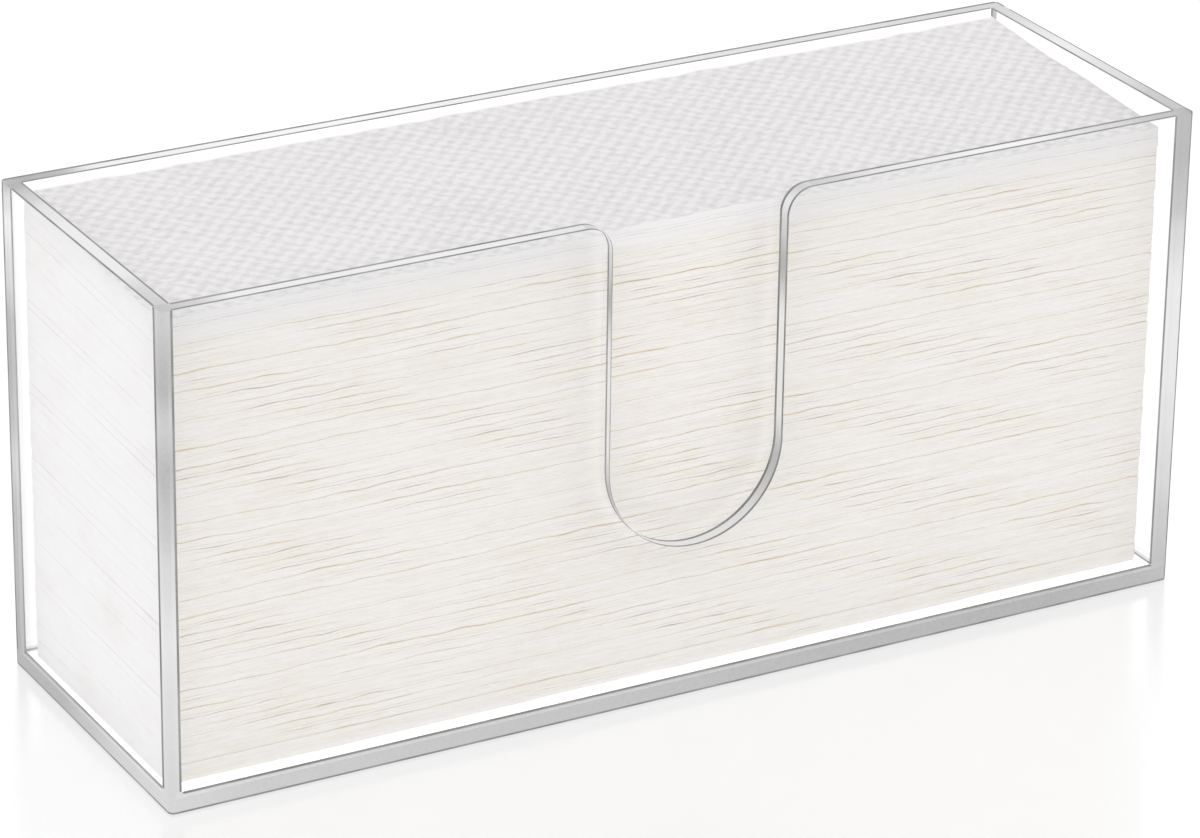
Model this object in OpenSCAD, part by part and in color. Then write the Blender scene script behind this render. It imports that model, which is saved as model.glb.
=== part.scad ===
// Clear sheet-plastic dispenser for folded paper towels, loaded with one pack.
// Five flat panels are bonded edge to face into an open-topped box. The front
// panel has a round-bottomed finger notch. The towels lie flat in the box, each
// folded in three, with a round bend at the front and one at the back.
// The origin is at the middle of the underside. +X runs along the box, the notch
// faces -Y, and +Z is up.

/* [Box] */
// Outer length of the box, along X
box_length = 270; // [150:1:320]
// Outer depth of the box, front to back
box_depth = 88; // [60:1:140]
// Outer height of the box, underside to rim
box_height = 123; // [85:1:135]
// Thickness of the four upright panels
wall_t = 4; // [3:0.5:6]
// Thickness of the base panel
base_t = 4; // [3:0.5:8]
// Radius of the four upright outer corners, seen from above
corner_r = 1.5; // [0.5:0.1:2.5]

/* [Finger notch] */
// Width of the notch between its straight sides
notch_width = 46; // [30:1:70]
// Height of the notch's lowest point above the underside
notch_floor = 38.5; // [20:0.5:50]
// Radius of the rounded lips where the notch meets the rim
lip_r = 6.5; // [3:0.5:10]

/* [Towels] */
// Towels in a full pack
pack_count = 50; // [20:1:54]
// Thickness of one layer of towel, lofted by its embossing
layer_t = 0.67; // [0.5:0.01:0.9]
// Air gap between the layers of one folded towel
fold_gap = 0.15; // [0.1:0.01:0.3]
// Distance that a towel's two free edges stop short of its bends
free_edge = 0.4; // [0.3:0.1:4]
// Distance that a towel can lie forward or back of the middle of the stack
fold_jog = 0.4; // [0:0.05:0.8]
// Distance that a towel can lie left or right of the middle of the stack
end_jog = 0.2; // [0:0.05:0.5]

/* [Clearances] */
// Clear space between the front panel and the foremost bend
front_gap = 3.4; // [0.3:0.1:5]
// Clear space between the back panel and the rearmost bend
back_gap = 3; // [0.3:0.1:5]
// Clear space between the left panel and the towels' ends
left_gap = 1.2; // [0.3:0.1:5]
// Clear space between the right panel and the towels' ends
right_gap = 1.8; // [0.3:0.1:5]
// Least clear height between the top towel and the rim
headspace = 3; // [1:0.5:20]

/* [Hidden] */
// Space inside the box
inner_length = box_length - 2 * wall_t;
inner_depth = box_depth - 2 * wall_t;
wall_height = box_height - base_t;

// The notch is a straight slot that ends in a half circle
notch_r = notch_width / 2;
notch_arc_z = notch_floor + notch_r;
cut_past = 1;

// One folded towel is three layers and the two gaps between them
bend_r = layer_t + fold_gap / 2;
towel_t = 3 * layer_t + 2 * fold_gap;
towel_length = inner_length - left_gap - right_gap - 2 * end_jog;
towel_depth = inner_depth - front_gap - back_gap - 2 * fold_jog;
stack_x = (left_gap - right_gap) / 2;
stack_y = (front_gap - back_gap) / 2;
towel_count = min(pack_count, floor((wall_height - headspace) / towel_t));

// Towels slip by this much of a turn from one to the next, so none line up
jog_turn = 137.5;
end_turn = 83;

arc_fn = 96;
bend_fn = 20;

towel_names = [for (i = [1 : towel_count]) str("towel_", i < 10 ? "0" : "", i)];

// Outline of the whole box seen from above, with its four round corners
module plan_outline() {
    half_x = box_length / 2;
    half_y = box_depth / 2;
    square([box_length - 2 * corner_r, box_depth], center = true);
    square([box_length, box_depth - 2 * corner_r], center = true);
    for (sx = [-1, 1])
        for (sy = [-1, 1])
            translate([sx * (half_x - corner_r), sy * (half_y - corner_r)])
                circle(r = corner_r, $fn = arc_fn);
}

// A full-length upright panel that stands on the base, side -1 front, 1 back
module long_wall(side) {
    translate([0, 0, base_t])
        linear_extrude(height = wall_height)
            intersection() {
                plan_outline();
                translate([0, side * (box_depth - wall_t) / 2])
                    square([box_length, wall_t], center = true);
            }
}

// A panel that stands on the base between the two long walls, side -1 left, 1 right
module end_wall(side) {
    translate([side * (box_length - wall_t) / 2, 0, base_t])
        linear_extrude(height = wall_height)
            square([wall_t, inner_depth], center = true);
}

// The notch seen from the front: slot, round bottom and the two flared lips
module notch_outline() {
    slot_height = box_height - notch_arc_z;
    translate([0, notch_arc_z])
        circle(r = notch_r, $fn = arc_fn);
    translate([-notch_r, notch_arc_z])
        square([notch_width, slot_height + cut_past]);
    for (side = [-1, 1])
        difference() {
            translate([side * (notch_r + lip_r / 2), box_height - lip_r / 2 + cut_past / 2])
                square([lip_r, lip_r + cut_past], center = true);
            translate([side * (notch_r + lip_r), box_height - lip_r])
                circle(r = lip_r, $fn = arc_fn);
        }
}

module base_panel() {
    color("gainsboro", 0.5)
        linear_extrude(height = base_t)
            plan_outline();
}

module front_panel() {
    color("gainsboro", 0.5)
        difference() {
            long_wall(-1);
            translate([0, -box_depth / 2 + wall_t + cut_past, 0])
                rotate([90, 0, 0])
                    linear_extrude(height = wall_t + 2 * cut_past)
                        notch_outline();
        }
}

module back_panel() {
    color("gainsboro", 0.5)
        long_wall(1);
}

module left_panel() {
    color("gainsboro", 0.5)
        end_wall(-1);
}

module right_panel() {
    color("gainsboro", 0.5)
        end_wall(1);
}

// One bend of a towel: a half ring that opens towards +X of the profile
module bend() {
    difference() {
        circle(r = bend_r, $fn = bend_fn);
        circle(r = fold_gap / 2, $fn = bend_fn);
        translate([0, -bend_r - cut_past])
            square([bend_r + cut_past, 2 * (bend_r + cut_past)]);
    }
}

// Section of a towel folded in three: X of the profile runs front to back, and
// its lowest layer lies on zero. One bend is at the front and one at the back.
module towel_section() {
    half_depth = towel_depth / 2;
    layer_pitch = layer_t + fold_gap;
    bend_x = half_depth - bend_r;
    free_x = half_depth - bend_r - free_edge;
    translate([-bend_x, 0])
        square([bend_x + free_x, layer_t]);
    translate([-bend_x, layer_pitch])
        square([2 * bend_x, layer_t]);
    translate([-free_x, 2 * layer_pitch])
        square([bend_x + free_x, layer_t]);
    translate([-bend_x, bend_r])
        bend();
    translate([bend_x, bend_r + layer_pitch])
        mirror([1, 0])
            bend();
}

// Towel i lies on the one below it, and every second one is turned end for end,
// counted down from the top towel, which has its upper bend at the front
module towel(i) {
    turn = 180 * ((towel_count + 1 - i) % 2);
    jog_y = fold_jog * sin(jog_turn * i);
    jog_x = end_jog * sin(end_turn * i);
    color("ivory")
        translate([stack_x + jog_x, stack_y + jog_y, base_t + (i - 1) * towel_t])
            rotate([0, 0, turn])
                rotate([90, 0, 90])
                    linear_extrude(height = towel_length, center = true)
                        towel_section();
}

base_panel();
front_panel();
back_panel();
left_panel();
right_panel();
for (i = [1 : towel_count])
    towel(i);
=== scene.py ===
"""Clear sheet-plastic dispenser with a pack of folded paper towels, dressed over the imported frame."""

import math

import bmesh
import bpy
import numpy as np
from mathutils import Matrix, Vector


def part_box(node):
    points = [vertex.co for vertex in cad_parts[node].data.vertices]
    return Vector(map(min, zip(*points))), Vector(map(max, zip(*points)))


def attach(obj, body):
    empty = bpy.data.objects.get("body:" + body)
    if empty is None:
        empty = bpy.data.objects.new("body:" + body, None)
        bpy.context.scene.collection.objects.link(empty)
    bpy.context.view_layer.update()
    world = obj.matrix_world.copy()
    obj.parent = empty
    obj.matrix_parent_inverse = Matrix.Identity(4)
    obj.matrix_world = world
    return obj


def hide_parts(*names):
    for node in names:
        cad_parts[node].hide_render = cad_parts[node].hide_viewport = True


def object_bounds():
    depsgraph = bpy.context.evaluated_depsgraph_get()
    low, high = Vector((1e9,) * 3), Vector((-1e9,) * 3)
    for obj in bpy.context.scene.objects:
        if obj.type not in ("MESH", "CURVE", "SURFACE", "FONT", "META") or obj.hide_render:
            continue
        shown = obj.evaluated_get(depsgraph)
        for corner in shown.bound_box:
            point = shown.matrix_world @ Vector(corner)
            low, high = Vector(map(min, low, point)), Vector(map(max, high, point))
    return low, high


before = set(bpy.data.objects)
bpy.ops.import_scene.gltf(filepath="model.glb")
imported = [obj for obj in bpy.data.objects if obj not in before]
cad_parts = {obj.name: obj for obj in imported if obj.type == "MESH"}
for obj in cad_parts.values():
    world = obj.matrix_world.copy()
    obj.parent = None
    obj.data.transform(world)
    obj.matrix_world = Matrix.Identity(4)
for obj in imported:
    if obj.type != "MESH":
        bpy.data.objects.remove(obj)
cad_low, cad_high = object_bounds()

MM = 0.001

# Sheets that the box is bonded from
SHEET_T = 4.0 * MM
BOND_GAP = 0.02 * MM
ACRYLIC_IOR = 1.49
CORNER_R = 1.5 * MM

# Broken arrises along the cut edges: width at the outer face and at the inner one, and depth
FRONT_ARRISES = (0.62 * MM, 0.95 * MM)
BACK_ARRISES = (0.95 * MM, 0.62 * MM)
END_ARRISES = (0.50 * MM, 0.56 * MM)
BASE_ARRISES = (0.50 * MM, 0.50 * MM)
ARRIS_DROP = 0.06 * MM

# Dark lines of painted shade: width at bonded edges, and where one starts and ends across an upright corner
BONDED_LINE = 1.25 * MM
FOOT_LINE = 1.9 * MM
CORNER_LINES = {"right": (0.07 * MM, 0.80 * MM), "left": (0.75 * MM, 1.9 * MM)}

# Finger notch
NOTCH_R = 23.0 * MM
NOTCH_FLOOR = 38.5 * MM
LIP_R = 6.5 * MM

# Steps of the sheets' round outlines, the least angle that shades sharp, and where tones change near a corner
ARC_STEP = math.radians(3.0)
CORNER_STEPS = 9
SHEET_EDGE_ANGLE = math.radians(24)
EDGE_SHIFT = 1.3 * MM
FOOT = 1.4 * MM
RIM_END = 0.55 * MM

# Painted glow: share of its tone that a cut edge, or a dark line, gives off by itself as emission, though it
# is no lamp
OPEN_GLOW = 0.5
BONDED_GLOW = 0.9
LINE_GLOW = 0.25

# Towels
TOWEL_COUNT = 50
LAYER_GAP = 0.02 * MM
TOWEL_GAP = 0.02 * MM
FREE_RECESS = 0.04 * MM
FREE_CHAMFER = 0.05 * MM
STATION = 2.4 * MM
BEND_STEPS = 8
BEND_SQUARENESS = 0.36
PRESSED_SQUARENESS = 0.12
JOG_SHARE = 0.3
PAPER_EDGE_ANGLE = math.radians(50)

# How the pack lies: its lean at the front and back from bottom to top, and the waves that run through it
LEAN_FRONT = -1.3 * MM
LEAN_BACK = 2.7 * MM
RISE = 0.17 * MM
FINE_RISE = 0.09 * MM
SETTLED_BY = 12 * MM

# How its edges wear. Nearness runs from 0 in the middle of a towel to 1 at its edge
EDGE_SHARE = 0.03
EDGE_WANDER = 0.06 * MM
EDGE_WANDER_MIDDLE = 0.8
END_WANDER = 0.05 * MM
PINCH = 0.10
PINCHED_SHARE = 0.3
PINCHED_SWING = 0.5
LOOSE_SHARE = 0.32
LOOSE_SWING = 0.6
SHUT = 0.88
SHUT_FROM = 0.982
SHUT_OVER = 0.006
CLOSED_TOP = 9 * MM
CLOSED_FADE = 5 * MM

# Embossed paper: the dimples, the grid that carries them on the top towel, and the tones between them
EMBOSS_PITCH = 4.76 * MM
EMBOSS_DEPTH = 0.11 * MM
EMBOSS_ROUND = 1.5
EMBOSS_UP_TO = 0.995
EMBOSS_FADE = 0.06
TOP_GRID = 0.6 * MM
# Where the top towel's open face takes its darker paper, painted shade: share across, drop below its top,
# least tilt
TOP_FACE_SHARE = 0.993
TOP_FACE_DROP = 2.2 * MM
TOP_FACE_TILT = 0.8
GRAIN = (220.0, 220.0, 1100.0)
# Streaks on the folded sides, partly painted shade: faint warm lines between the folds
FOLD_SHADE_STREAKS = (34.0, 60.0, 480.0)
PATCHES = (45.0, 45.0, 45.0)
PATCH_SHARE = 0.35
WOBBLE_SCALE = 160.0
WOBBLE = 1.6 * MM

# Painted shade in the open creases, as a warmer, darker paper: how far out it starts, as a share, and the
# least tilt of the crease walls
CREASE_SHADE_SHARE = 0.9
CREASE_SHADE_TILT = 0.3

# Paler folds near the top of the pack, by the depth below the rim
TOP_TONE_FROM = 13 * MM
TOP_TONE_TO = 6 * MM
TOP_TONE_SHARE = 0.8

# Stage
TABLE_HALF = 6.0
TABLE_Z = -0.05 * MM
TABLE_GLOW = 0.65
LAMP_Z = -0.03 * MM
LAMP_INSET = 2 * MM
LAMP_GLOW = 1.1
WORLD_STRENGTH = 1.08

# Camera, fitted to the corners of the box
CAMERA_AT = Vector((-590.9, -1059.9, 591.4)) * MM
CAMERA_AZIMUTH = math.radians(29.0868)
CAMERA_ELEVATION = math.radians(23.9211)
CAMERA_ROLL = math.radians(0.8209)
CAMERA_LENS = 167.02


def smoothstep(t):
    t = np.clip(t, 0.0, 1.0)
    return t * t * (3.0 - 2.0 * t)


class Wave:
    """Smooth seeded noise along one to three axes, made of a few sines of mixed pitch."""

    def __init__(self, seed, pitches, count=6):
        rng = np.random.default_rng(seed)
        shape = (count, len(pitches))
        self.turns = rng.uniform(0.55, 1.7, shape) * rng.choice([-1, 1], shape)
        self.turns *= 2 * math.pi / np.array(pitches)
        self.phase = rng.uniform(0, 2 * math.pi, count)
        self.scale = 1.0 / math.sqrt(count / 2)

    def __call__(self, *places):
        total = 0.0
        for turns, phase in zip(self.turns, self.phase):
            total = total + np.sin(sum(k * p for k, p in zip(turns, places)) + phase)
        return total * self.scale


# Materials


def new_material(name):
    """An empty node material, with its tree and output node."""
    material = bpy.data.materials.new(name)
    material.use_nodes = True
    tree = material.node_tree
    tree.nodes.clear()
    output = tree.nodes.new("ShaderNodeOutputMaterial")
    return material, tree, output


def principled(tree, colour, roughness, specular=0.5):
    shader = tree.nodes.new("ShaderNodeBsdfPrincipled")
    shader.inputs["Base Color"].default_value = (*colour, 1.0)
    shader.inputs["Roughness"].default_value = roughness
    shader.inputs["Specular IOR Level"].default_value = specular
    return shader


def math_node(tree, operation, a, b=None, c=None):
    node = tree.nodes.new("ShaderNodeMath")
    node.operation = operation
    for socket, value in zip(node.inputs, (a, b, c)):
        if isinstance(value, bpy.types.NodeSocket):
            tree.links.new(value, socket)
        elif value is not None:
            socket.default_value = value
    return node.outputs[0]


def grey(display):
    """Linear grey for an 8-bit display value."""
    value = display / 255.0
    linear = ((value + 0.055) / 1.055) ** 2.4
    return (linear, linear, linear)


def tint(red, green, blue):
    return tuple(grey(value)[0] for value in (red, green, blue))


def clear_acrylic():
    """Polished clear sheet. Lamps and bounced light pass straight through it, as clear as the real sheet."""
    material, tree, output = new_material("clear_acrylic")
    glass = principled(tree, (0.995, 0.995, 0.995), 0.0)
    glass.inputs["IOR"].default_value = ACRYLIC_IOR
    glass.inputs["Transmission Weight"].default_value = 1.0
    straight = tree.nodes.new("ShaderNodeBsdfTransparent")
    straight.inputs["Color"].default_value = (0.985, 0.985, 0.985, 1.0)
    path = tree.nodes.new("ShaderNodeLightPath")
    lamp = math_node(tree, "MAXIMUM", path.outputs["Is Shadow Ray"], path.outputs["Is Diffuse Ray"])
    mix = tree.nodes.new("ShaderNodeMixShader")
    tree.links.new(lamp, mix.inputs[0])
    tree.links.new(glass.outputs[0], mix.inputs[1])
    tree.links.new(straight.outputs[0], mix.inputs[2])
    tree.links.new(mix.outputs[0], output.inputs["Surface"])
    return material


def cut_edge(name, axis, low, high, stops, glow):
    """Cut sheet edge: grey tones along one axis, painted light and shade for how the polished edge catches
    and loses the light, and a faint drag of the polish. Part of its tone is a painted glow, emission that
    stands in for the light the sheet carries to the edge, so an edge that is bonded to the next sheet still
    shows."""
    material, tree, output = new_material(name)
    place = tree.nodes.new("ShaderNodeTexCoord")
    parts = tree.nodes.new("ShaderNodeSeparateXYZ")
    tree.links.new(place.outputs["Object"], parts.inputs[0])
    share = tree.nodes.new("ShaderNodeMapRange")
    share.inputs["From Min"].default_value = low
    share.inputs["From Max"].default_value = high
    tree.links.new(parts.outputs[axis], share.inputs["Value"])
    ramp = tree.nodes.new("ShaderNodeValToRGB")
    ramp.color_ramp.interpolation = "EASE"
    while len(ramp.color_ramp.elements) < len(stops):
        ramp.color_ramp.elements.new(0.5)
    for element, (position, tone) in zip(ramp.color_ramp.elements, stops):
        element.position = position
        element.color = (*grey(tone), 1.0)
    tree.links.new(share.outputs[0], ramp.inputs[0])
    drag = tree.nodes.new("ShaderNodeTexNoise")
    drag.inputs["Scale"].default_value = 1400.0
    drag.inputs["Detail"].default_value = 2.0
    tree.links.new(place.outputs["Object"], drag.inputs["Vector"])
    mix = tree.nodes.new("ShaderNodeMix")
    mix.data_type = "RGBA"
    mix.blend_type = "OVERLAY"
    mix.inputs[0].default_value = 0.10
    tree.links.new(ramp.outputs[0], mix.inputs["A"])
    tree.links.new(drag.outputs["Fac"], mix.inputs["B"])
    # Painted glow: the base colour gives way to emission of the same tone, by the glow share
    own = tree.nodes.new("ShaderNodeMix")
    own.data_type = "RGBA"
    own.inputs[0].default_value = 0.06 + 0.94 * glow
    own.inputs["B"].default_value = (0.0, 0.0, 0.0, 1.0)
    tree.links.new(mix.outputs["Result"], own.inputs["A"])
    shader = principled(tree, (0.6, 0.6, 0.6), 0.42, 0.1)
    tree.links.new(own.outputs["Result"], shader.inputs["Base Color"])
    tree.links.new(mix.outputs["Result"], shader.inputs["Emission Color"])
    shader.inputs["Emission Strength"].default_value = glow
    tree.links.new(shader.outputs[0], output.inputs["Surface"])
    return material


def painted_edge_shade():
    """Painted shade: a dark line where the broken arris of a sheet turns the light away, with a little
    painted glow.
    """
    material, tree, output = new_material("painted_edge_shade")
    place = tree.nodes.new("ShaderNodeTexCoord")
    # Noise that makes the painted dark line a little lighter or darker along its length
    line_tone_noise = tree.nodes.new("ShaderNodeTexNoise")
    line_tone_noise.inputs["Scale"].default_value = 90.0
    tree.links.new(place.outputs["Object"], line_tone_noise.inputs["Vector"])
    ramp = tree.nodes.new("ShaderNodeValToRGB")
    ramp.color_ramp.elements[0].position = 0.35
    ramp.color_ramp.elements[0].color = (*grey(120), 1.0)
    ramp.color_ramp.elements[1].position = 0.65
    ramp.color_ramp.elements[1].color = (*grey(144), 1.0)
    tree.links.new(line_tone_noise.outputs["Fac"], ramp.inputs[0])
    shader = principled(tree, (0.2, 0.2, 0.2), 0.6, 0.0)
    tree.links.new(ramp.outputs[0], shader.inputs["Base Color"])
    tree.links.new(ramp.outputs[0], shader.inputs["Emission Color"])
    shader.inputs["Emission Strength"].default_value = LINE_GLOW
    tree.links.new(shader.outputs[0], output.inputs["Surface"])
    return material


# Sheets


class Sheet:
    """A flat sheet: an outline in its own plane, taken through its thickness from the outer face."""

    def __init__(self, name, place, outline, depths, face_materials):
        self.name = name
        self.place = place
        self.outline = outline
        self.depths = depths
        self.materials = face_materials

    def build(self, band_material):
        mesh = bmesh.new()
        count = len(self.outline)
        rings = []
        for depth in self.depths:
            ring = [mesh.verts.new(self.place(*point(depth), depth)) for point in self.outline]
            rings.append(ring)
        slots = list(self.materials)
        for layer in range(len(rings) - 1):
            middle = (self.depths[layer] + self.depths[layer + 1]) / 2
            for k in range(count):
                after = (k + 1) % count
                corners = [rings[layer][k], rings[layer][after], rings[layer + 1][after], rings[layer + 1][k]]
                face = mesh.faces.new(corners)
                material = band_material(self.outline[k], self.outline[after], middle)
                if material not in slots:
                    slots.append(material)
                face.material_index = slots.index(material)
        mesh.faces.new(rings[0])
        mesh.faces.new(rings[-1])
        bmesh.ops.recalc_face_normals(mesh, faces=mesh.faces)
        data = bpy.data.meshes.new(self.name)
        mesh.to_mesh(data)
        mesh.free()
        for material in slots:
            data.materials.append(material)
        data.set_sharp_from_angle(angle=SHEET_EDGE_ANGLE)
        for polygon in data.polygons:
            polygon.use_smooth = len(polygon.vertices) == 4
        piece = bpy.data.objects.new(self.name, data)
        bpy.context.scene.collection.objects.link(piece)
        return piece


class RimPoint:
    """A point of a sheet's outline, with the ways it draws in near the sheet's two faces."""

    def __init__(self, u, v, arris=(0.0, 0.0), end=0.0, edge=""):
        self.u = u
        self.v = v
        self.arris = arris
        self.end = end
        self.edge = edge
        self.draw = None

    def __call__(self, depth):
        eased, rounded = self.draw(depth)
        return (
            self.u + self.arris[0] * eased + self.end * rounded,
            self.v + self.arris[1] * eased,
        )


def arc(u, v, radius, start, stop):
    """Points of a circular arc, from start to stop degrees."""
    steps = max(2, round(abs(math.radians(stop - start)) / ARC_STEP))
    for k in range(steps + 1):
        angle = math.radians(start + (stop - start) * k / steps)
        yield u + radius * math.cos(angle), v + radius * math.sin(angle), angle


def draw_in(thickness, rounding, both_arrises):
    """How far the outline draws in at a depth: at the broken arrises, and at the round upright corners."""

    def draw(depth):
        eased = 0.0
        if depth < 1e-9 or (both_arrises and depth > thickness - 1e-9):
            eased = ARRIS_DROP
        rounded = 0.0
        if rounding and depth < rounding:
            rounded = rounding - math.sqrt(rounding**2 - (rounding - depth) ** 2)
        return eased, rounded

    return draw


def depth_steps(thickness, arrises, rounding):
    """Depths at which a sheet's outline is laid down, from its outer face to its inner one."""
    from_inner_face = (BONDED_LINE, FOOT_LINE, arrises[1])
    steps = {0.0, arrises[0], thickness}
    steps.update(thickness - width for width in from_inner_face)
    if rounding:
        steps.add(CORNER_LINES["left"][1])
        for k in range(1, CORNER_STEPS + 1):
            steps.add(rounding * (1 - math.cos(math.pi / 2 * k / CORNER_STEPS)))
    ordered = sorted(steps)
    return [d for k, d in enumerate(ordered) if k == 0 or d - ordered[k - 1] > 1e-6]


def long_outline(low, high, inner_end, notched):
    """Outline of a front or back sheet, with the notch and its round lips if it has one."""
    left, right = low.x, high.x
    bottom, top = low.z + BOND_GAP, high.z
    points = [
        RimPoint(left, bottom, (0, 0), 1, "bottom_corner"),
        RimPoint(-inner_end, bottom, (0, 0), 0, "bottom"),
        RimPoint(inner_end, bottom, (0, 0), 0, "bottom_corner"),
        RimPoint(right, bottom, (0, 0), -1, "right_end"),
        RimPoint(right, top, (0, -1), -1, "rim_line"),
        RimPoint(right - RIM_END, top, (0, -1), -1, "rim_corner"),
        RimPoint(inner_end, top, (0, -1), 0, "rim_inner"),
        RimPoint(inner_end - EDGE_SHIFT, top, (0, -1), 0, "rim"),
    ]
    if notched:
        lip_u = NOTCH_R + LIP_R
        lip_v = top - LIP_R
        arc_v = NOTCH_FLOOR + NOTCH_R
        for u, v, angle in arc(lip_u, lip_v, LIP_R, 90, 180):
            points.append(RimPoint(u, v, (-math.cos(angle), -math.sin(angle)), 0, "notch"))
        for u, v, angle in arc(0, arc_v, NOTCH_R, 0, -180):
            points.append(RimPoint(u, v, (math.cos(angle), math.sin(angle)), 0, "notch"))
        for u, v, angle in arc(-lip_u, lip_v, LIP_R, 0, 90):
            points.append(RimPoint(u, v, (-math.cos(angle), -math.sin(angle)), 0, "notch"))
        points[-1].edge = "rim"
    points.append(RimPoint(-inner_end, top, (0, -1), 0, "rim_outer"))
    points.append(RimPoint(-inner_end - EDGE_SHIFT, top, (0, -1), 0, "rim_corner"))
    points.append(RimPoint(left, top, (0, -1), 1, "left_end"))
    points.append(RimPoint(left, bottom + FOOT, (0, 0), 1, "left_foot"))
    return points


def end_outline(low, high):
    """Outline of a left or right sheet, which stands on the base between the long sheets."""
    near, far = low.y + BOND_GAP, high.y - BOND_GAP
    bottom, top = low.z + BOND_GAP, high.z
    return [
        RimPoint(near, bottom, (0, 1), 0, "bottom"),
        RimPoint(far, bottom, (0, 1), 0, "back_end"),
        RimPoint(far, top, (0, -1), 0, "rim_inner"),
        RimPoint(far - 2 * EDGE_SHIFT, top, (0, -1), 0, "rim"),
        RimPoint(near, top, (0, -1), 0, "front_end"),
    ]


def base_outline(high):
    """Outline of the base, with its four round corners, two of which take a dark line of painted shade where
    the outline turns.
    """
    points = []
    corners = (
        (1, -1, -90, "front_right", "right", range(2, CORNER_STEPS)),
        (1, 1, 0, "back_right", "back", ()),
        (-1, 1, 90, "back_left", "left", range(6, CORNER_STEPS)),
        (-1, -1, 180, "front_left", "front", ()),
    )
    for side_x, side_y, start, name, following, dark_steps in corners:
        u0 = side_x * (high.x - CORNER_R)
        v0 = side_y * (high.y - CORNER_R)
        for k in range(CORNER_STEPS + 1):
            angle = math.radians(start + 90 * k / CORNER_STEPS)
            u, v = u0 + CORNER_R * math.cos(angle), v0 + CORNER_R * math.sin(angle)
            edge = following if k == CORNER_STEPS else name
            if k in dark_steps:
                edge = "silhouette"
            points.append(RimPoint(u, v, (-math.cos(angle), -math.sin(angle)), 0, edge))
    return points


def ease_all(points, thickness, rounding, both_arrises):
    """Gives every point of an outline the same way to draw in."""
    draw = draw_in(thickness, rounding, both_arrises)
    for point in points:
        point.draw = draw
    return points


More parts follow.
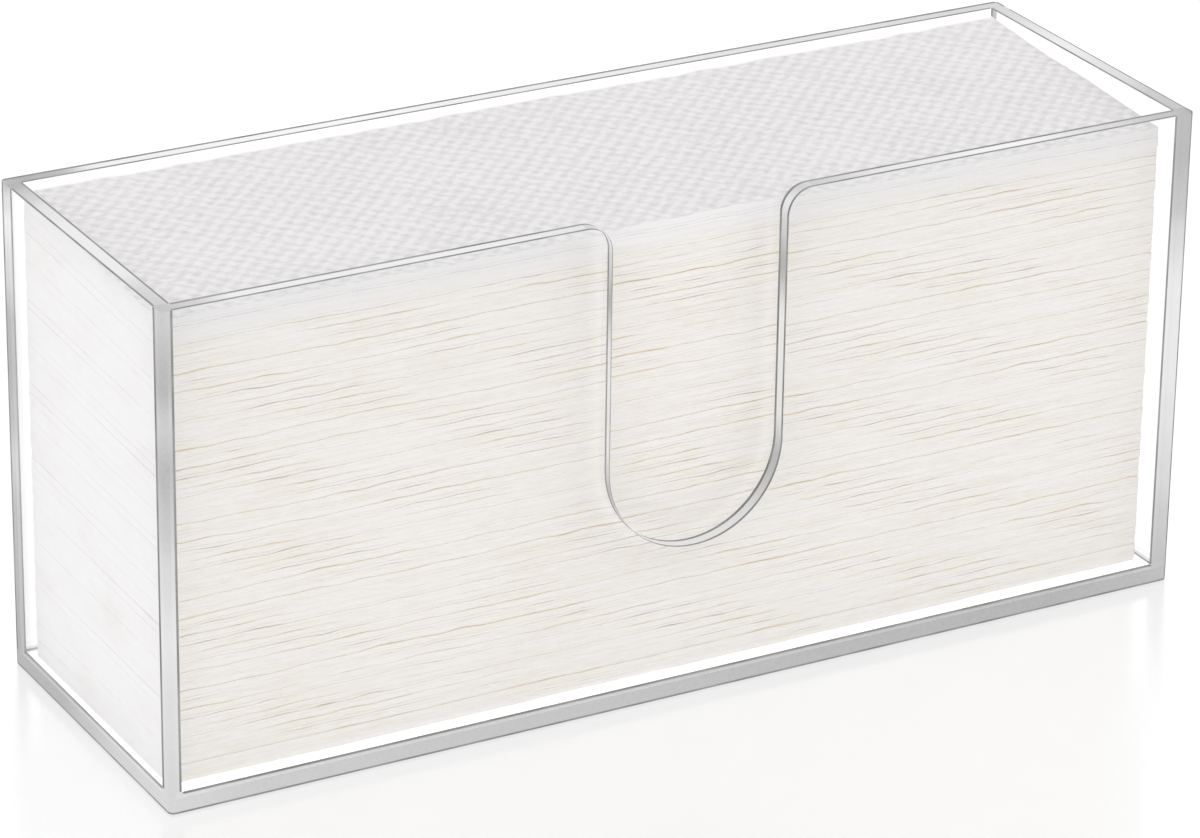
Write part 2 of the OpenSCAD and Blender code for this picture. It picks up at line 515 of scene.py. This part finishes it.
def build_sheets():
    """The five sheets, each with clear faces, grey cut edges of painted light and shade, and dark arris lines
    of painted shade.
    """
    clear = clear_acrylic()
    line = painted_edge_shade()
    _, base_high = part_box("base_panel")
    half_x, half_y = base_high.x, base_high.y
    top = cad_high.z
    floor_z = base_high.z

    def open_edge(name, axis, low, high, stops):
        return cut_edge(name + "_edge", axis, low, high, stops, OPEN_GLOW)

    def both_edges(name, axis, low, high, stops):
        """The same painted tones twice: for an edge in the open, and for one bonded to the next sheet, which
        has more painted glow.
        """
        bonded = cut_edge(name + "_bonded_edge", axis, low, high, stops, BONDED_GLOW)
        return open_edge(name, axis, low, high, stops), bonded

    # The stops are painted light and shade: the bright and grey stretches that the polished edges show under
    # the lamps
    front_rim = open_edge("front_rim", "X", -half_x, half_x, [
        (0.0, 188), (0.03, 202), (0.07, 231), (0.3, 230), (0.39, 222), (0.61, 199), (0.7, 226), (0.82, 238),
        (0.91, 212), (0.97, 190), (1.0, 176),
    ])
    back_rim = open_edge("back_rim", "X", -half_x, half_x, [
        (0.0, 182), (0.018, 172), (0.05, 180), (0.085, 234), (0.3, 240), (0.55, 228), (0.8, 216), (1.0, 206),
    ])
    left_rim = open_edge("left_rim", "Y", -half_y, half_y, [
        (0.0, 198), (0.12, 206), (0.3, 230), (0.6, 231), (0.76, 222), (0.86, 200), (0.95, 174), (1.0, 172),
    ])
    right_rim = open_edge("right_rim", "Y", -half_y, half_y, [
        (0.0, 190), (0.15, 196), (0.35, 216), (0.6, 230), (1.0, 206),
    ])
    front_left, front_left_bonded = both_edges("front_left", "Z", floor_z, top, [
        (0.0, 216), (0.19, 224), (0.33, 232), (0.47, 220), (0.57, 203), (0.67, 189), (0.77, 207),
        (0.85, 188), (1.0, 208),
    ])
    front_right, front_right_bonded = both_edges("front_right", "Z", floor_z, top, [
        (0.0, 196), (0.1, 206), (0.2, 220), (0.34, 230), (0.42, 236), (0.62, 237), (0.73, 221), (0.8, 200),
        (0.91, 188), (1.0, 192),
    ])
    back_left, back_left_bonded = both_edges("back_left", "Z", floor_z, top, [
        (0.0, 178), (0.3, 190), (0.42, 209), (0.52, 189), (0.61, 181), (0.71, 184), (0.82, 216), (0.92, 238),
        (0.97, 222), (1.0, 196),
    ])
    base_front, base_front_bonded = both_edges("base_front", "X", -half_x, half_x, [
        (0.0, 216), (0.1, 207), (0.35, 200), (0.7, 188), (0.87, 184), (0.95, 189), (1.0, 194),
    ])
    base_left, base_left_bonded = both_edges("base_left", "Y", -half_y, half_y, [
        (0.0, 216), (0.3, 211), (0.52, 196), (0.7, 181), (1.0, 179),
    ])
    notch = open_edge("notch", "Z", NOTCH_FLOOR, top, [
        (0.0, 232), (0.2, 190), (0.35, 236), (0.62, 238), (0.78, 184), (0.9, 214), (0.96, 232), (1.0, 206),
    ])

    def long_band(end_left, end_right, rim, arrises, lined, silhouette):
        """Material of each strip round a front or back sheet, with dark lines of painted shade at its
        arrises, its foot and across an upright corner.
        """
        line_at_rim = {
            "rim": (True, True), "notch": (True, True), "rim_inner": (silhouette, True),
            "rim_outer": (True, False), "rim_corner": (silhouette, False), "rim_line": (True, True),
        }

        def band(here, after, depth):
            outer = depth < arrises[0]
            inner = depth > SHEET_T - arrises[1]
            if here.edge in line_at_rim:
                at_outer, at_inner = line_at_rim[here.edge]
                if here.edge == "rim_line" or (outer and at_outer) or (inner and at_inner):
                    return line
                return notch if here.edge == "notch" else rim
            if here.edge.startswith("bottom"):
                # The inner part of the foot takes the dark line of painted shade
                lit = here.edge == "bottom" and depth > SHEET_T - FOOT_LINE
                return line if lit else base_front_bonded
            side, part = here.edge.split("_")
            if side == lined and CORNER_LINES[side][0] < depth < CORNER_LINES[side][1]:
                return line
            if side == "left" and part == "end" and inner and not silhouette:
                return line
            return end_left if side == "left" else end_right

        return band

    def end_band(rim, front_end, back_end, bottom):
        """Material of each strip round a left or right sheet, with dark lines of painted shade at its
        arrises, its foot and its back end.
        """
        body = {"rim": rim, "rim_inner": rim, "front_end": front_end, "back_end": back_end, "bottom": bottom}

        def band(here, after, depth):
            if here.edge in ("bottom", "back_end"):
                width = FOOT_LINE if here.edge == "bottom" else BONDED_LINE
                return line if depth > SHEET_T - width else body[here.edge]
            if depth > SHEET_T - END_ARRISES[1] or (depth < END_ARRISES[0] and here.edge == "rim"):
                return line
            return body[here.edge]

        return band

    def base_band(here, after, depth):
        # Dark lines of painted shade at the foot's arris and where the corner's outline turns
        if depth < BASE_ARRISES[0] or here.edge == "silhouette":
            return line
        if here.edge in ("front", "front_right", "back", "back_right"):
            return base_front
        return base_left

    def add(name, node, place, outline, arrises, rounding, band):
        points = ease_all(outline, SHEET_T, rounding, node != "base_panel")
        sheet = Sheet(name, place, points, depth_steps(SHEET_T, arrises, rounding), [clear])
        piece = sheet.build(band)
        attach(piece, "root")
        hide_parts(node)

    inner_x = half_x - SHEET_T
    low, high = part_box("front_panel")
    add(
        "front_sheet", "front_panel",
        lambda u, v, d: (u, -half_y + d, v),
        long_outline(low, high, inner_x, True), FRONT_ARRISES, CORNER_R,
        long_band(front_left, front_right, front_rim, FRONT_ARRISES, "right", False),
    )
    low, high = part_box("back_panel")
    add(
        "back_sheet", "back_panel",
        lambda u, v, d: (u, half_y - d, v),
        long_outline(low, high, inner_x, False), BACK_ARRISES, CORNER_R,
        long_band(back_left, front_right, back_rim, BACK_ARRISES, "left", True),
    )
    low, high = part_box("left_panel")
    add(
        "left_sheet", "left_panel",
        lambda u, v, d: (-half_x + d, u, v),
        end_outline(low, high), END_ARRISES, 0.0,
        end_band(left_rim, front_left_bonded, back_left_bonded, base_left_bonded),
    )
    low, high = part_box("right_panel")
    add(
        "right_sheet", "right_panel",
        lambda u, v, d: (half_x - d, u, v),
        end_outline(low, high), END_ARRISES, 0.0,
        end_band(right_rim, front_right_bonded, front_right_bonded, base_left_bonded),
    )
    add(
        "base_sheet", "base_panel",
        lambda u, v, d: (u, v, d),
        base_outline(base_high), BASE_ARRISES, 0.0,
        base_band,
    )


# Towels


def bend_points(y, z, radius, side):
    """A pressed bend from its lower end to its upper end. The shoulder at the towel's outer face, lower at
    the towel's lower bend and upper at its upper one, is round. The other lies pressed on a free edge."""
    for k in range(1, BEND_STEPS):
        turn = math.pi * k / BEND_STEPS
        rise = -math.cos(turn)
        square = BEND_SQUARENESS if rise * side > 0 else PRESSED_SQUARENESS
        out = math.sin(turn) ** square
        up = math.copysign(abs(rise) ** square, rise)
        yield y + side * radius * out, z + radius * up


def fold_path(half_depth, layer, gap, flip, top_points):
    """Closed outline of one towel's section, front to back and up. The upper face can take extra points."""
    pitch = layer + gap
    radius = layer + gap / 2
    inner = gap / 2
    bend_y = half_depth - radius
    free_y = half_depth - FREE_RECESS
    chamfer = FREE_CHAMFER
    top = 2 * pitch + layer

    outside = [(free_y, layer * 0.5), (free_y, chamfer), (free_y - 4 * chamfer, 0.0), (-bend_y, 0.0)]
    outside += bend_points(-bend_y, radius, radius, -1)
    outside += [(-bend_y, 2 * radius), (bend_y - radius * 0.5, pitch + layer), (bend_y, pitch + layer)]
    outside += bend_points(bend_y, pitch + radius, inner, 1)
    outside += [(bend_y, 2 * pitch), (-free_y, 2 * pitch), (-free_y, top - chamfer)]
    across = np.linspace(-free_y + 4 * chamfer, bend_y, top_points)
    inside = [(y, top) for y in across]
    inside += reversed(list(bend_points(bend_y, pitch + radius, radius, 1)))
    inside += [(bend_y, pitch), (-bend_y + radius * 0.5, pitch), (-bend_y, pitch)]
    inside += reversed(list(bend_points(-bend_y, radius, inner, -1)))
    inside += [(-bend_y, layer), (free_y, layer)]
    points = np.array(outside + inside)
    if flip:
        points[:, 0] *= -1
        points = points[::-1]
    return points


class Stack:
    """Where the towels lie, and the slow waves that run through the whole pack."""

    def __init__(self):
        boxes = [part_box(f"towel_{number:02d}") for number in range(1, TOWEL_COUNT + 1)]
        self.mean_low = sum((low for low, _ in boxes), Vector()) / TOWEL_COUNT
        self.mean_high = sum((high for _, high in boxes), Vector()) / TOWEL_COUNT
        self.low, self.high = boxes[0][0], boxes[-1][1]
        self.rise = Wave(11, (95 * MM, 60 * MM, 38 * MM))
        self.fine = Wave(12, (15 * MM, 40 * MM, 8 * MM))
        self.loose = Wave(13, (90 * MM, 200 * MM, 30 * MM))

    def place(self, node):
        """Box of a towel in a squared-up pack, where the towels keep part of their small offsets."""
        low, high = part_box(node)
        for axis in (0, 1):
            low[axis] = self.mean_low[axis] + JOG_SHARE * (low[axis] - self.mean_low[axis])
            high[axis] = self.mean_high[axis] + JOG_SHARE * (high[axis] - self.mean_high[axis])
        return low, high

    def shift(self, x, y, z):
        """Upward shift of a point, none at the base, so that the layers stay in order."""
        height = np.clip((z - self.low.z) / (self.high.z - self.low.z), 0.0, 1.0)
        back = (y - self.low.y) / (self.high.y - self.low.y)
        lean = height * (LEAN_FRONT + (LEAN_BACK - LEAN_FRONT) * back)
        settled = smoothstep((z - self.low.z) / SETTLED_BY)
        return lean + settled * (RISE * self.rise(x, y, z) + FINE_RISE * self.fine(x, y, z))


def emboss(x, y):
    """Depth of the embossing at a place on a towel: round dimples on a square lattice set cornerwise."""
    turn = 2 * math.pi / EMBOSS_PITCH
    wave = np.cos(turn * x) * np.cos(turn * y)
    return EMBOSS_DEPTH * (0.5 + 0.5 * wave) ** EMBOSS_ROUND


def towel_mesh(index, stack):
    """Node of a folded towel, and its vertices as grids of x, y and z with one row for each station."""
    node = f"towel_{index:02d}"
    low, high = stack.place(node)
    depth = high.y - low.y
    length = high.x - low.x
    thick = high.z - low.z - TOWEL_GAP
    layer = (thick - 2 * LAYER_GAP) / 3
    on_top = index == TOWEL_COUNT
    flip = (TOWEL_COUNT - index) % 2 == 0
    section = fold_path(depth / 2, layer, LAYER_GAP, flip, round(depth / TOP_GRID) if on_top else 2)
    middle_x, middle_y, middle_z = (low.x + high.x) / 2, (low.y + high.y) / 2, (low.z + high.z) / 2
    stations = round(length / (TOP_GRID if on_top else STATION)) + 1
    xs = np.linspace(low.x, high.x, stations)
    x, y = np.meshgrid(xs, section[:, 0] + middle_y, indexing="ij")
    z = np.broadcast_to(section[:, 1] + low.z + TOWEL_GAP / 2, x.shape).copy()

    nearness = np.abs(y - middle_y) / (depth / 2)
    edge = smoothstep((nearness - 1 + EDGE_SHARE) / EDGE_SHARE)
    wander = Wave(100 + index, (34 * MM, 5 * MM), 5)
    pinch = Wave(200 + index, (17 * MM, 3 * MM), 5)
    closing = smoothstep((z - stack.high.z + CLOSED_TOP) / CLOSED_FADE)
    loose = smoothstep(LOOSE_SHARE + LOOSE_SWING * stack.loose(x, y, z)) * (1 - closing)
    shut = smoothstep((nearness - SHUT_FROM) / SHUT_OVER) * (1 - loose) * SHUT
    outward = np.sign(y - middle_y)
    y = y + outward * (1 - nearness) * (depth / 2) * shut
    y = y - outward * edge * EDGE_WANDER * np.abs(wander(x, z) - EDGE_WANDER_MIDDLE)
    pinched = smoothstep(PINCHED_SHARE + PINCHED_SWING * pinch(x, z))
    z = z + (middle_z - z) * edge * PINCH * loose * pinched
    if on_top:
        open_face = (z > high.z - layer * 0.5) & (nearness < EMBOSS_UP_TO)
        z = z - np.where(open_face, emboss(x, y) * smoothstep((1.0 - nearness) / EMBOSS_FADE), 0.0)
    z = z + stack.shift(x, y, z)
    ends = Wave(300 + index, (26 * MM, 9 * MM), 5)
    end_nearness = np.abs(x - middle_x) / (length / 2)
    end_share = smoothstep((end_nearness - 1 + EDGE_SHARE) / EDGE_SHARE)
    x = x - np.sign(x - middle_x) * end_share * END_WANDER * np.abs(ends(y, z))
    return node, x, y, z


def sweep_faces(stations, ring):
    """Four-sided faces between the closed rings of vertices at successive stations."""
    start = np.arange(stations - 1)[:, None] * ring
    here = np.arange(ring)[None, :]
    after = (here + 1) % ring
    corners = [start + here, start + after, start + ring + after, start + ring + here]
    return np.stack(corners, axis=-1).reshape(-1, 4)


def build_towel(index, stack, papers):
    """One folded towel. Its cut ends have a paler paper of their own, painted light, with their own crinkled
    streaks;
    its open creases a warmer, darker one, painted shade; and the open face of the top towel a darker one,
    painted shade."""
    node, x, y, z = towel_mesh(index, stack)
    stations, ring = x.shape
    vertices = np.stack([x, y, z], axis=-1).reshape(-1, 3)
    faces = sweep_faces(stations, ring).tolist()
    last = (stations - 1) * ring
    faces.append(list(range(ring)))
    faces.append(list(range(last + ring - 1, last - 1, -1)))
    data = bpy.data.meshes.new(node + "_folded")
    data.from_pydata(vertices.tolist(), [], faces)
    for material in papers:
        data.materials.append(material)
    mesh = bmesh.new()
    mesh.from_mesh(data)
    bmesh.ops.recalc_face_normals(mesh, faces=mesh.faces)
    mesh.to_mesh(data)
    mesh.free()
    _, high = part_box(node)
    inset = TOP_FACE_SHARE * (high.y - stack.low.y) / 2
    crease_shade_from = CREASE_SHADE_SHARE * inset
    on_top = index == TOWEL_COUNT
    top_face_from = high.z - TOP_FACE_DROP
    for polygon in data.polygons:
        polygon.use_smooth = True
        centre = polygon.center
        in_face = on_top and abs(centre.y) < inset and centre.z > top_face_from
        # Cut ends take the paler paper, painted light; the top face the darker one and the crease walls the
        # warmer one, painted shade
        if len(polygon.vertices) > 4:
            polygon.material_index = 1
        elif in_face and polygon.normal.z > TOP_FACE_TILT:
            polygon.material_index = 2
        elif abs(polygon.normal.z) > CREASE_SHADE_TILT and abs(centre.y) > crease_shade_from:
            polygon.material_index = 3
    data.set_sharp_from_angle(angle=PAPER_EDGE_ANGLE)
    piece = bpy.data.objects.new(node + "_folded", data)
    bpy.context.scene.collection.objects.link(piece)
    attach(piece, "root")
    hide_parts(node)


def stretched_noise(tree, place, scale, detail=3.0):
    """Noise as a value from 0 to 1, with its own scale along each axis."""
    stretch = tree.nodes.new("ShaderNodeMapping")
    stretch.inputs["Scale"].default_value = scale
    tree.links.new(place, stretch.inputs["Vector"])
    noise = tree.nodes.new("ShaderNodeTexNoise")
    noise.inputs["Scale"].default_value = 1.0
    noise.inputs["Detail"].default_value = detail
    tree.links.new(stretch.outputs[0], noise.inputs["Vector"])
    return noise.outputs["Fac"]


def dimple_nodes(tree, place, pitches):
    """The embossing as a value from 0 to 1, one along each axis named in pitches."""
    parts = tree.nodes.new("ShaderNodeSeparateXYZ")
    tree.links.new(place, parts.inputs[0])
    product = None
    for axis, pitch in pitches.items():
        turn = math_node(tree, "MULTIPLY", parts.outputs[axis], 2 * math.pi / pitch)
        wave = math_node(tree, "COSINE", turn)
        product = wave if product is None else math_node(tree, "MULTIPLY", product, wave)
    return math_node(tree, "MULTIPLY_ADD", product, 0.5, 0.5)


def paper(name, pale, dark, pitches, dimple_shade_share, streaks, streak_share, grain_share=0.0, top_tone=None):
    """Embossed two-ply paper: tones between pale and dark follow the dimples, darker in them as painted
    shade, the fibres' streaks, which on the folded sides also paint shade as faint lines between the folds,
    and a finer grain.
    With a top_tone, the uppermost towels are nearer to that."""
    material, tree, output = new_material(name)
    place = tree.nodes.new("ShaderNodeTexCoord").outputs["Object"]
    wobble = tree.nodes.new("ShaderNodeTexNoise")
    wobble.inputs["Scale"].default_value = WOBBLE_SCALE
    tree.links.new(place, wobble.inputs["Vector"])
    centred = tree.nodes.new("ShaderNodeVectorMath")
    centred.operation = "MULTIPLY_ADD"
    tree.links.new(wobble.outputs["Color"], centred.inputs[0])
    centred.inputs[1].default_value = (WOBBLE, WOBBLE, WOBBLE)
    tree.links.new(place, centred.inputs[2])
    dimple_shade = dimple_nodes(tree, centred.outputs[0], pitches)
    streak = stretched_noise(tree, place, streaks)
    patch = stretched_noise(tree, place, PATCHES, 1.0)
    # Painted shade: the tone darkens in the dimples of the embossing
    share = math_node(tree, "MULTIPLY", dimple_shade, dimple_shade_share)
    # Streaks of the fibres, which on the folded sides also paint shade as faint lines between the folds
    share = math_node(tree, "MULTIPLY_ADD", math_node(tree, "SUBTRACT", streak, 0.5), streak_share, share)
    share = math_node(tree, "MULTIPLY_ADD", math_node(tree, "SUBTRACT", patch, 0.5), PATCH_SHARE, share)
    if grain_share:
        grain = stretched_noise(tree, place, GRAIN, 1.0)
        share = math_node(tree, "MULTIPLY_ADD", math_node(tree, "SUBTRACT", grain, 0.5), grain_share, share)
    mix = tree.nodes.new("ShaderNodeMix")
    mix.data_type = "RGBA"
    tree.links.new(share, mix.inputs[0])
    mix.inputs["A"].default_value = (*pale, 1.0)
    mix.inputs["B"].default_value = (*dark, 1.0)
    tone = mix.outputs["Result"]
    if top_tone is not None:
        parts = tree.nodes.new("ShaderNodeSeparateXYZ")
        tree.links.new(place, parts.inputs[0])
        height = tree.nodes.new("ShaderNodeMapRange")
        height.interpolation_type = "SMOOTHSTEP"
        height.inputs["From Min"].default_value = cad_high.z - TOP_TONE_FROM
        height.inputs["From Max"].default_value = cad_high.z - TOP_TONE_TO
        height.inputs["To Max"].default_value = TOP_TONE_SHARE
        tree.links.new(parts.outputs["Z"], height.inputs["Value"])
        top_mix = tree.nodes.new("ShaderNodeMix")
        top_mix.data_type = "RGBA"
        tree.links.new(height.outputs[0], top_mix.inputs[0])
        tree.links.new(tone, top_mix.inputs["A"])
        top_mix.inputs["B"].default_value = (*top_tone, 1.0)
        tone = top_mix.outputs["Result"]
    bump = tree.nodes.new("ShaderNodeBump")
    bump.inputs["Strength"].default_value = 0.5
    bump.inputs["Distance"].default_value = 0.08 * MM
    tree.links.new(math_node(tree, "SUBTRACT", streak, share), bump.inputs["Height"])
    shader = principled(tree, pale, 0.92, 0.1)
    shader.inputs["Sheen Weight"].default_value = 0.08
    tree.links.new(tone, shader.inputs["Base Color"])
    tree.links.new(bump.outputs[0], shader.inputs["Normal"])
    tree.links.new(shader.outputs[0], output.inputs["Surface"])
    return material


def build_papers():
    """Papers of the folded sides; of the cut ends, paler and cooler, painted light; of the top towel's open
    face, darker, painted shade; and of the open creases, warmer and darker, painted shade.
    """
    fold_dimples = {"X": EMBOSS_PITCH / 2, "Z": 1.1 * MM}
    top_tone = tint(241, 240, 241)
    side = paper(
        "towel_folds", tint(243, 240, 237), tint(233, 227, 209),
        fold_dimples, 0.22, FOLD_SHADE_STREAKS, 1.0, 1.0, top_tone,
    )
    end = paper(
        "towel_ends_painted_light", tint(246, 244, 246), tint(230, 224, 217),
        {"Y": 9 * MM, "Z": 7 * MM}, 0.12, (60.0, 50.0, 120.0), 1.3,
    )
    face = paper(
        "towel_face_painted_shade", tint(229, 227, 228), tint(205, 203, 204),
        {"X": EMBOSS_PITCH, "Y": EMBOSS_PITCH}, 0.70, (620.0, 900.0, 620.0), 1.5,
    )
    crease_shade = paper(
        "towel_creases_painted_shade", tint(243, 237, 224), tint(235, 225, 202),
        fold_dimples, 0.22, FOLD_SHADE_STREAKS, 1.0, 1.0, top_tone,
    )
    return side, end, face, crease_shade


# Stage


def stage_plane(name, half_x, half_y, z, material):
    """A level plane about the origin that belongs to the stage and not to the part."""
    data = bpy.data.meshes.new(name)
    corners = [(-half_x, -half_y, z), (half_x, -half_y, z), (half_x, half_y, z), (-half_x, half_y, z)]
    data.from_pydata(corners, [], [(0, 1, 2, 3)])
    data.materials.append(material)
    plane = bpy.data.objects.new(name, data)
    bpy.context.scene.collection.objects.link(plane)


def build_floor():
    """A white table lit from below, glossy enough to mirror the foot of the box, and a lamp under the box."""
    material, tree, output = new_material("lit_table")
    shader = principled(tree, (0.12, 0.12, 0.12), 0.20, 1.0)
    shader.inputs["IOR"].default_value = 2.0
    shader.inputs["Emission Color"].default_value = (1.0, 1.0, 1.0, 1.0)
    shader.inputs["Emission Strength"].default_value = TABLE_GLOW
    tree.links.new(shader.outputs[0], output.inputs["Surface"])
    stage_plane("table", TABLE_HALF, TABLE_HALF, TABLE_Z, material)
    material, tree, output = new_material("table_lamp")
    shader = principled(tree, (0.5, 0.5, 0.5), 0.5, 0.0)
    shader.inputs["Emission Color"].default_value = (1.0, 1.0, 1.0, 1.0)
    shader.inputs["Emission Strength"].default_value = LAMP_GLOW
    tree.links.new(shader.outputs[0], output.inputs["Surface"])
    stage_plane("table_lamp", cad_high.x - LAMP_INSET, cad_high.y - LAMP_INSET, LAMP_Z, material)


def build_world():
    """Even white light from all round, as in a light tent."""
    world = bpy.data.worlds.new("studio")
    world.use_nodes = True
    background = world.node_tree.nodes["Background"]
    background.inputs["Color"].default_value = (1.0, 1.0, 1.0, 1.0)
    background.inputs["Strength"].default_value = WORLD_STRENGTH
    bpy.context.scene.world = world


def softbox(name, at, towards, size, power):
    light = bpy.data.lights.new(name, "AREA")
    light.shape = "SQUARE"
    light.size = size
    light.energy = power
    lamp = bpy.data.objects.new(name, light)
    bpy.context.scene.collection.objects.link(lamp)
    lamp.location = at
    lamp.rotation_euler = (Vector(towards) - Vector(at)).to_track_quat("-Z", "Y").to_euler()


def build_lights():
    softbox("back_softbox", (0.9, 1.6, 0.9), (0, 0, 0.1), 0.5, 1.2)


def build_camera():
    """The photograph's view: a long lens that looks down from the front left."""
    forward = Vector((
        math.sin(CAMERA_AZIMUTH) * math.cos(CAMERA_ELEVATION),
        math.cos(CAMERA_AZIMUTH) * math.cos(CAMERA_ELEVATION),
        -math.sin(CAMERA_ELEVATION),
    ))
    level_right = forward.cross(Vector((0, 0, 1))).normalized()
    level_up = level_right.cross(forward)
    right = math.cos(CAMERA_ROLL) * level_right + math.sin(CAMERA_ROLL) * level_up
    up = -math.sin(CAMERA_ROLL) * level_right + math.cos(CAMERA_ROLL) * level_up
    data = bpy.data.cameras.new("camera")
    data.sensor_width = 36.0
    data.lens = CAMERA_LENS
    data.clip_end = 50.0
    camera = bpy.data.objects.new("camera", data)
    bpy.context.scene.collection.objects.link(camera)
    turn = Matrix((right, up, -forward)).transposed().to_4x4()
    camera.matrix_world = Matrix.Translation(CAMERA_AT) @ turn
    bpy.context.scene.camera = camera


bpy.context.scene.view_settings.view_transform = "Standard"
build_camera()
build_world()
build_lights()
build_floor()
build_sheets()
stack = Stack()
papers = build_papers()
for number in range(1, TOWEL_COUNT + 1):
    build_towel(number, stack, papers)

bpy.context.view_layer.update()
